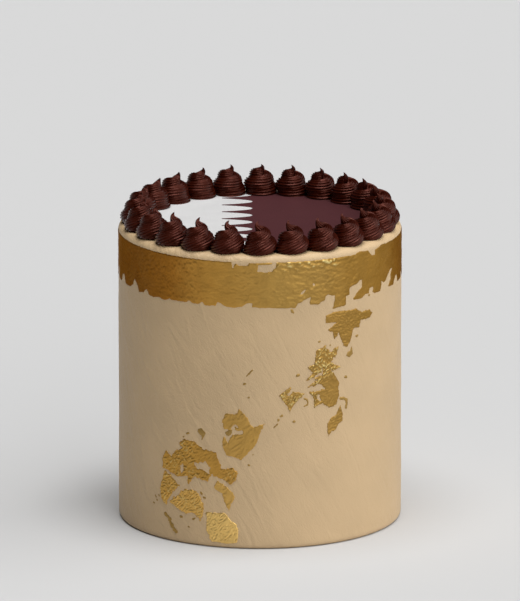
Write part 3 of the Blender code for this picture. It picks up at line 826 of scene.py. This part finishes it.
def inside_edges(points, edges):
    """Whether an upward line from each point crosses the edges an odd number of times."""
    odd = np.zeros(len(points), bool)
    for x0, y0, x1, y1 in edges:
        if x0 == x1:
            continue
        spans = (points[:, 0] >= min(x0, x1)) & (points[:, 0] < max(x0, x1))
        level = y0 + (y1 - y0) * (points[:, 0] - x0) / (x1 - x0)
        odd ^= spans & (level > points[:, 1])
    return odd


def depth_inside(points, edges, holes=()):
    """Distance to the border or to a hole's, positive inside."""
    distance = edge_distance(points, edges)
    depth = np.where(inside_edges(points, edges), distance, -distance)
    for outline in holes:
        depth = np.minimum(depth, -depth_inside(points, loop_edges(outline)))
    return depth


def clip_positive(points, triangles, value):
    """The part of a flat mesh where value is positive, cut along its zero line."""
    inside = value[triangles] > 0
    count = inside.sum(1)
    order = np.arange(3)[None, :]

    def turned(chosen, corner):
        return np.take_along_axis(chosen, (corner[:, None] + order) % 3, 1)

    one = turned(triangles[count == 1], inside[count == 1].argmax(1))
    two = turned(triangles[count == 2], inside[count == 2].argmin(1))
    pairs = join((one[:, [0, 1]], one[:, [0, 2]], two[:, [1, 0]], two[:, [2, 0]]))
    first, kind = weld(pairs)
    start, end = pairs[first].T
    near, far = value[start], value[end]
    share = np.clip(near / (near - far), CUT_MARGIN, 1 - CUT_MARGIN)[:, None]
    cuts = points[start] * (1 - share) + points[end] * share
    sizes = np.cumsum((len(one), len(one), len(two)))
    to_second, to_third, from_second, from_third = np.split(kind + len(points), sizes)
    made = join((
        triangles[count == 3],
        np.stack((one[:, 0], to_second, to_third), 1),
        np.stack((from_second, two[:, 1], two[:, 2]), 1),
        np.stack((from_second, two[:, 2], from_third), 1),
    ))
    return join((points, cuts)), made, join((value, np.zeros(len(cuts))))


def drop_crumbs(triangles, fewest=FEWEST_TRIANGLES):
    """Leave out connected parts of fewer triangles than fewest."""
    label = np.arange(triangles.max() + 1)
    while True:
        before = label.copy()
        lowest = label[triangles].min(1)
        for corner in range(3):
            np.minimum.at(label, triangles[:, corner], lowest)
        label = label[label]
        if (label == before).all():
            break
    own = label[triangles[:, 0]]
    names, size = np.unique(own, return_counts=True)
    return triangles[np.isin(own, names[size >= fewest])]


def even_places(low, high, step):
    """Even places from low to high, about a step apart."""
    count = max(2, math.ceil((high - low) / step))
    return low + (high - low) * np.arange(count + 1) / count


def flat_grid(x, y):
    """Points and triangles of a flat grid with the given columns and rows."""
    return np.stack(np.meshgrid(x, y), -1).reshape(-1, 2), quads(len(y), len(x), False)


def grid_over(edges, step, *margins):
    """The same for even cells over the box of the edges and the margins round it."""
    low = edges.reshape(-1, 2).min(0)
    high = edges.reshape(-1, 2).max(0)
    for margin in margins:
        low, high = low - margin, high + margin
    return flat_grid(even_places(low[0], high[0], step), even_places(low[1], high[1], step))


def leaf_shell(points, triangles, value, relief):
    """A thin shell on the icing: points, faces and how much painted highlight each point gets on a wrinkle's
    top.
    """
    used, triangles = pack(triangles)
    along, up = points[used].T
    ground = CAKE_RADIUS + side_relief(along, up)
    bevel = smooth(*BEVEL, value[used])
    height = relief(along, up)
    outer = wrap(along, ground + EDGE_LIFT + bevel * (LEAF_LIFT + height), up)
    back = wrap(along, ground - BACK_DEPTH, up)
    count = len(used)
    border = border_edges(triangles)
    rim, upper = pack(border)
    upper = upper + 2 * count
    lower = border + count
    walls = [np.stack((upper[:, 1], upper[:, 0], lower[:, 0]), 1),
             np.stack((upper[:, 1], lower[:, 0], lower[:, 1]), 1)]
    faces = join([triangles, triangles[:, ::-1] + count] + walls)
    crest = np.zeros(2 * count + len(rim))
    # painted highlight on the raised wrinkle tops, inside the bevel
    crest[:count] = bevel * smooth(*HIGHLIGHT_RISE, height)
    return join((outer, back, outer[rim])), faces, crest


def add_leaf(name, shell, faces, crest, material, nodes=()):
    """A piece of gold leaf, with the painted highlight on its wrinkle tops kept as an attribute of the mesh
    for the material.
    """
    item = add_piece(name, shell, faces, material, nodes)
    layer = item.data.attributes.new(PAINTED_HIGHLIGHT_LAYER, "FLOAT", "POINT")
    layer.data.foreach_set("value", crest.astype(np.float32))


def creased(value):
    """Sharp crests from 0 to 1 where the noise crosses zero."""
    return 1.0 - np.minimum(np.abs(value) * CREASE_SHARPNESS, 1.0)


def crumple(along, up, size, seed, lean):
    """Sharp creases about size apart, and shorter ones, that run along a leaning direction."""
    across = along - lean * up
    onwards = up + lean * along
    creases = creased(leaf_noise(across, onwards, width=size, height=size * 2.2, shift=50, seed=seed))
    return creases + 0.45 * leaf_noise(across, onwards, 0.55 * size, 0.8 * size, shift=20, seed=seed + 1)


# name: brightness and paleness beside the usual gold, ragged edge, relief depth, crease size, crease lean.
# The brightness rises for the lower leaves, partly their own colour and partly painted light from the
# floor's bounce.
LEAF_LOOKS = {
    "hand": (1.04, -0.6, 0.65, 0.23, 3.2, -2.0),
    "crumpled": (1.03, -0.4, 1.00, 0.42, 2.2, 0.9),
    "kite": (1.18, -0.2, 0.60, 0.42, 2.2, 1.0),
    "blade": (1.04, -0.3, 0.55, 0.24, 3.0, 1.4),
    "clasp": (1.44, -0.3, 0.75, 0.14, 4.0, 0.8),
    "cloud": (1.44, -1.1, 0.90, 0.34, 2.3, 1.0),
    "crest": (1.70, -0.7, 1.00, 0.38, 2.0, 1.0),
    "shell": (1.92, -0.2, 1.00, 0.36, 1.9, 1.0),
    "feather": (1.66, 0.0, 0.55, 0.17, 3.6, 1.0),
    "foot": (2.25, 1.3, 0.60, 0.26, 1.9, 1.1),
}
LEAF_SEED = 100
LEAF_SEED_STEP = 10
PALE_GREEN = (1.05, 0.09)  # green beside the usual gold's, and what paleness adds
PALE_BLUE = (1.1, 0.3)

# Fine ripple of a leaf, and teeth of its edge: depth, cell size and place in the lattice
RIPPLE = (0.055, 1.4, 30)
COARSE_TEETH = (0.7, 2.3, 90)
FINE_TEETH = (0.5, 0.95, 60)

# Where a crumpled leaf lies smoother: middle of the spot (along, up) and its reach
CALM_SPOTS = {"crumpled": (41.5, 89.5, 10.0), "cloud": (-28.0, 50.0, 12.0)}
CALM_DEPTH = 0.35  # of the usual relief
CALM_BORDER = (0.6, 1.1)  # of the reach

# Bare spots in the leaves, as outlines of (along, up)
LEAF_HOLES = {
    "crumpled": (
        ((35.3, 103.2), (36.5, 103.0), (36.7, 101.0), (36.0, 99.2), (35.1, 99.6), (35.6, 101.2)),
        ((27.5, 97.4), (30.5, 98.6), (33.0, 100.2), (35.5, 100.9), (35.4, 99.6), (33.0, 98.4),
         (30.5, 96.4), (28.0, 95.6)),
        ((40.2, 102.8), (41.0, 102.6), (43.4, 100.8), (46.5, 100.4), (47.0, 99.6), (43.6, 99.9),
         (41.8, 101.2)),
        ((33.2, 88.6), (34.6, 88.4), (34.9, 86.4), (35.7, 84.6), (35.0, 83.2), (34.0, 84.4), (33.4, 86.6)),
    ),
    "kite": (
        ((18.4, 94.0), (17.0, 91.4), (15.8, 90.1), (15.6, 89.1), (16.7, 88.9), (17.7, 89.7), (18.3, 91.0),
         (19.2, 92.8)),
    ),
    "clasp": (
        ((-16.2, 69.0), (-15.8, 71.2), (-15.0, 72.2), (-13.2, 71.8), (-12.2, 70.6), (-13.9, 70.8),
         (-14.4, 69.0)),
    ),
    "cloud": (
        ((-46.6, 46.8), (-45.5, 46.2), (-45.3, 44.0), (-45.8, 41.7), (-47.1, 41.1), (-48.0, 42.6),
         (-47.6, 44.6)),
        ((-38.9, 46.6), (-38.4, 48.2), (-36.4, 48.4), (-34.9, 47.4), (-34.6, 46.0), (-35.8, 44.6),
         (-37.0, 45.6)),
    ),
}


def ragged(points, amount, seed):
    """Uneven shift of a torn border."""
    teeth = 0.0
    for number, (depth, size, shift) in enumerate((COARSE_TEETH, FINE_TEETH)):
        teeth = teeth + depth * leaf_noise(*points.T, size, size, shift, seed + number)
    return amount * teeth


def leaf_colour(tone_and_bounce, paleness):
    # the brightness factor holds painted light from the floor's bounce as well as the leaf's own colour
    red, green, blue = shade(GOLD, tone_and_bounce)
    return (red, green * (PALE_GREEN[0] + PALE_GREEN[1] * paleness),
            blue * (PALE_BLUE[0] + PALE_BLUE[1] * paleness))


def make_leaf(name, looks, seed):
    """One torn leaf within its solid's outline, with ragged edges, holes and wrinkles."""
    tone_and_bounce, paleness, rough_edge, depth, size, lean = looks
    node = "gold_leaf_" + name
    edges = unrolled_edges(node)
    points, triangles = grid_over(edges, LEAF_STEP, LEAF_MARGIN)
    value = depth_inside(points, edges, LEAF_HOLES.get(name, ())) + ragged(points, rough_edge, seed)
    points, triangles, value = clip_positive(points, triangles, value)

    def relief(along, up):
        strength = depth
        if name in CALM_SPOTS:
            x, y, reach = CALM_SPOTS[name]
            low, high = (share * reach for share in CALM_BORDER)
            away = smooth(low, high, np.hypot(along - x, up - y))
            strength = depth * (CALM_DEPTH + (1.0 - CALM_DEPTH) * away)
        rippled, cell, shift = RIPPLE
        ripple = rippled * leaf_noise(along, up, cell, cell, shift, seed + 4)
        return strength * crumple(along, up, size, seed + 2, lean) + ripple

    shell = leaf_shell(points, drop_crumbs(triangles), value, relief)
    add_leaf(node + "_sheet", *shell, make_gold(node, leaf_colour(tone_and_bounce, paleness)), [node])


LOWEST_RELIEF = -0.13
BAND_TEETH = ((0.28, 1.9, 1.7, 21), (0.16, 0.9, 0.9, 22))  # depth, cell width and height, seed

# The grid that the band is cut from
FRONT_HALF = 108.0  # its cells are fine this far to both sides of the front
FRONT_STEP = 0.46
BACK_STEP = 1.2
BAND_ROWS = (135.5, 168.5)
SEAM_MARGIN = 5.0
SEAM_WIDTH = 1e-6
SEAM_KEYS = 1e5  # for each millimetre

# Bare spots in the band, as outlines of (along, up)
BAND_HOLES = (
    ((22.9, 147.4), (23.6, 148.5), (25.8, 150.2), (26.4, 150.1), (26.0, 149.0), (24.2, 147.3)),
    ((30.1, 153.2), (30.9, 153.2), (31.7, 151.8), (30.8, 151.5)),
)


def between(value, low, high, ease):
    """1 from low to high and fading out over ease on both sides."""
    return smooth(low - ease, low, value) * (1.0 - smooth(high, high + ease, value))


def band_relief(along, up):
    """Wrinkles of the band: folds in front on the right, most of all at the top, and streaks on the left."""
    bent = along + 1.5 * side_noise(along, up, width=7.0, height=4.0, seed=38)
    folds = 0.8 * side_noise(bent, up, width=3.4, height=1.9, seed=31, lean=0.3)
    folds += 0.5 * creased(side_noise(bent, up, width=5.5, height=2.8, seed=36))
    folds += 0.45 * side_noise(bent, up, width=1.8, height=1.2, seed=32)
    streaks = creased(side_noise(along, up, width=1.7, height=3.4, seed=33, lean=0.35))
    streaks += 0.6 * side_noise(along, up, width=1.5, height=2.2, seed=37)
    mottles = side_noise(bent, up, width=2.2, height=1.5, seed=34)
    waves = side_noise(along, up, width=9.0, height=5.0, seed=35)
    deeper = smooth(160.0, 165.0, up)
    folded = between(along, low=10.0, high=44.0, ease=7.0) * (0.21 + 0.40 * deeper)
    folded = np.maximum(folded, 0.16 * between(along, low=-8.0, high=56.0, ease=10.0))
    streaked = 0.17 * between(along, low=-60.0, high=-38.0, ease=8.0)
    mottled = 0.08 + 0.06 * (1.0 - smooth(-68.0, -50.0, along))
    relief = folded * folds + streaked * streaks + mottled * mottles + 0.10 * waves
    return np.maximum(relief, LOWEST_RELIEF)


def band_edges():
    """The band's border unrolled, with a stretch of it repeated past both ends."""
    edges = unrolled_edges("gold_band")
    shifts = [edges + np.array((shift, 0.0, shift, 0.0)) for shift in (-GIRTH, 0.0, GIRTH)]
    edges = join(shifts)
    reach = GIRTH / 2 + SEAM_MARGIN
    return edges[(edges[:, [0, 2]].max(1) > -reach) & (edges[:, [0, 2]].min(1) < reach)]


def band_columns():
    """Columns of the band's grid, finer in front than at the back."""
    half = GIRTH / 2
    return join((even_places(-half, -FRONT_HALF, BACK_STEP)[:-1],
                 even_places(-FRONT_HALF, FRONT_HALF, FRONT_STEP),
                 even_places(FRONT_HALF, half, BACK_STEP)[1:]))


def make_band(material):
    """The band right round the cake, whose two ends are joined at the back."""
    points, triangles = flat_grid(band_columns(), even_places(*BAND_ROWS, FRONT_STEP))
    value = depth_inside(points, band_edges(), BAND_HOLES)
    for depth, *cells in BAND_TEETH:
        value = value + depth * side_noise(*points.T, *cells)
    points, triangles, value = clip_positive(points, triangles, value)
    triangles = drop_crumbs(triangles)
    along, up = points.T
    at_seam = along > GIRTH / 2 - SEAM_WIDTH
    places = np.stack((np.where(at_seam, along - GIRTH, along), up), 1)
    first, kind = weld(np.round(places * SEAM_KEYS).astype(np.int64))
    shell = leaf_shell(points[first], kind[triangles], value[first], band_relief)
    add_leaf("gold_band_sheet", *shell, material, ["gold_band"])


# Flecks of leaf: lines of (along, up) with their half width
FLECK_LINES = (
    (((48.0, 84.3), (50.8, 84.0), (52.5, 82.5), (52.3, 80.4), (52.0, 78.5)), 0.75),
    (((25.3, 86.8), (26.8, 86.2), (27.5, 84.4), (26.9, 82.9), (25.5, 82.3)), 0.5),
    (((-43.0, 64.6), (-42.0, 64.9)), 0.5),
    (((-45.5, 62.3), (-45.2, 62.5)), 0.35),
    (((-7.6, 100.7), (-6.3, 102.0), (-4.2, 104.3)), 0.35),
    (((-9.0, 96.2), (-8.3, 96.4)), 0.55),
    (((-6.6, 88.4), (-6.2, 88.5)), 0.5),
    (((8.0, 71.0), (9.0, 72.0), (10.0, 73.0)), 0.35),
    (((10.2, 74.6), (10.4, 75.3)), 0.6),
    (((11.6, 77.2), (12.5, 77.7)), 0.6),
    (((19.0, 73.7), (19.6, 73.8)), 0.6),
    (((21.2, 100.4), (21.9, 100.7)), 0.7),
    (((34.0, 119.0), (34.5, 119.1)), 0.5),
    (((59.6, 118.6), (60.5, 118.9)), 0.6),
    (((51.4, 96.2), (52.2, 96.2)), 0.6),
    (((18.1, 138.5), (18.4, 137.6), (19.0, 137.0)), 0.7),
    (((-6.4, 49.0), (-6.0, 49.0)), 0.55),
    (((-3.9, 55.2), (-3.7, 55.2)), 0.4),
    (((69.7, 140.5), (70.3, 140.6)), 0.5),
    (((41.1, 116.0), (41.5, 116.2)), 0.5),
    (((-58.0, 15.5), (-56.4, 14.0), (-55.0, 12.5)), 0.9),
    (((-55.0, 12.5), (-53.5, 9.5)), 1.1),
    (((-53.5, 9.5), (-52.0, 7.6), (-50.5, 6.2)), 1.1),
    (((-47.4, 15.5), (-46.6, 15.6)), 0.6),
    (((-39.0, 15.3), (-38.0, 15.8)), 0.6),
    (((-42.3, 10.3), (-41.7, 10.3)), 0.5),
    (((-34.3, 31.2), (-33.7, 30.6)), 0.5),
    (((-32.4, 28.7), (-31.7, 28.3)), 0.5),
    (((-66.2, 24.6), (-65.6, 23.8)), 0.45),
    (((-65.0, 22.6), (-64.6, 22.0)), 0.4),
    (((-67.6, 20.2), (-67.2, 20.0)), 0.4),
    (((-63.4, 25.4), (-63.0, 25.0)), 0.4),
)
FLECK_SHAPES = (
    ((52.0, 108.5), (54.5, 107.1), (56.8, 109.0), (56.6, 112.0), (55.8, 113.5), (55.0, 110.8),
     (53.0, 110.3)),
    ((-36.3, 66.5), (-36.0, 68.0), (-33.8, 68.8), (-31.3, 66.3), (-32.0, 64.5), (-33.6, 61.7),
     (-34.0, 64.4)),
    ((-19.9, 67.6), (-19.0, 66.0), (-17.6, 65.5), (-16.5, 66.4), (-15.8, 67.6), (-15.7, 69.3),
     (-17.2, 69.3), (-18.6, 68.4)),
)
FLECK_STEP = 0.3
FLECK_MARGIN = 0.8
FLECK_SEED = 300
FLECK_SEED_STEP = 2
FEWEST_IN_FLECK = 4
FLECK_RAGGEDNESS = (0.2, 0.6)  # at least, and what the half width adds as a square
FLECK_CREASES = (0.12, 1.8, 400, 1.0)  # depth, size, seed and lean


def fleck_outlines():
    """Edges and half width of every fleck, and no width for those drawn as a shape."""
    shapes = []
    for line, half_width in FLECK_LINES:
        ends = np.array(line)
        shapes.append((join((ends[:-1], ends[1:]), 1), half_width))
    return shapes + [(loop_edges(outline), 0.0) for outline in FLECK_SHAPES]


def fleck_relief(along, up):
    depth, size, seed, lean = FLECK_CREASES
    return depth * crumple(along, up, size, seed, lean)


def make_flecks(material):
    """All small flecks of leaf, joined in one piece."""
    parts, faces, crests = [], [], []
    least, growth = FLECK_RAGGEDNESS
    total = 0
    for number, (edges, half_width) in enumerate(fleck_outlines()):
        points, triangles = grid_over(edges, FLECK_STEP, half_width, FLECK_MARGIN)
        value = half_width - edge_distance(points, edges) if half_width else depth_inside(points, edges)
        seed = FLECK_SEED + FLECK_SEED_STEP * number
        value = value + ragged(points, least + growth * half_width ** 2, seed)
        points, triangles, value = clip_positive(points, triangles, value)
        triangles = drop_crumbs(triangles, FEWEST_IN_FLECK)
        shell, own, crest = leaf_shell(points, triangles, value, fleck_relief)
        parts.append(shell)
        faces.append(own + total)
        # painted highlight on the fleck's wrinkle tops
        crests.append(crest)
        total += len(shell)
    add_leaf("gold_flecks", join(parts), join(faces), join(crests), material)


# -------- stage, light and camera

# In metres
FLOOR_HALF = 60.0
CAMERA_ELEVATION = math.radians(14.45)
CAMERA_DISTANCE = 8.0
CAMERA_AIM = Vector((0.00004, 0.0, 0.1241))
CAMERA_LENS = 846.5  # millimetres, as is the sensor
CAMERA_SENSOR = 36.0
CAMERA_CLIP = 200.0
WORLD_GLOW = (0.03, 0.03, 0.03, 1.0)

# Soft suns: azimuth (0 is the camera's side and 90 the right), elevation, spread and strength
SUNS = {
    "overhead": (0.0, 84.0, 40.0, 2.5),
    "key": (69.0, 32.0, 96.0, 2.44),
    "glint": (14.0, 25.0, 24.0, 0.30),
}


def make_stage():
    """A plain pale floor."""
    finish = Finish("pale_floor", Roughness=0.9, Specular_IOR_Level=0.0)
    colour = finish.varied(finish.noise(size=900.0, detail=1.0), FLOOR, 0.995, 1.0)
    half = FLOOR_HALF
    corners = [(-half, -half, 0), (half, -half, 0), (half, half, 0), (-half, half, 0)]
    mesh = bpy.data.meshes.new("floor")
    mesh.from_pydata(corners, [], [(0, 1, 2, 3)])
    mesh.materials.append(finish.finish(colour))
    add_object("floor", mesh)


def add_sun(name, azimuth, elevation, spread, strength):
    light = bpy.data.lights.new(name, "SUN")
    light.energy = strength
    light.angle = math.radians(spread)
    a, e = math.radians(azimuth), math.radians(elevation)
    towards = Vector((math.sin(a) * math.cos(e), -math.cos(a) * math.cos(e), math.sin(e)))
    add_object(name, light).rotation_euler = towards.to_track_quat("Z", "Y").to_euler()


def make_lights():
    for name, sun in SUNS.items():
        add_sun(name, *sun)
    world = bpy.data.worlds.new("studio")
    world.use_nodes = True
    world.node_tree.nodes["Background"].inputs["Color"].default_value = WORLD_GLOW
    bpy.context.scene.world = world


def make_camera():
    """A long lens in front of the cake, looking a little down on it."""
    away = Vector((0.0, -math.cos(CAMERA_ELEVATION), math.sin(CAMERA_ELEVATION)))
    data = bpy.data.cameras.new("camera")
    data.lens = CAMERA_LENS
    data.sensor_width = CAMERA_SENSOR
    data.clip_end = CAMERA_CLIP
    camera = add_object("camera", data)
    camera.location = CAMERA_AIM + away * CAMERA_DISTANCE
    camera.rotation_euler = away.to_track_quat("Z", "Y").to_euler()
    bpy.context.scene.camera = camera
    bpy.context.scene.view_settings.view_transform = "Standard"


def main():
    make_camera()
    make_lights()
    make_stage()
    make_cake(make_icing())
    make_flag_sheet("flag_white", 0.0, False, make_sugar("white_sugar", WHITE, roughness=0.6))
    make_flag_sheet("flag_maroon", FLAG_GAP, True, make_sugar("maroon_sugar", MAROON, roughness=0.5))
    make_swirls(make_chocolate())
    make_band(make_gold("gold_band"))
    for order, (leaf, looks) in enumerate(LEAF_LOOKS.items()):
        make_leaf(leaf, looks, LEAF_SEED + LEAF_SEED_STEP * order)
    make_flecks(make_gold("gold_flecks", FLECK_GOLD))


main()
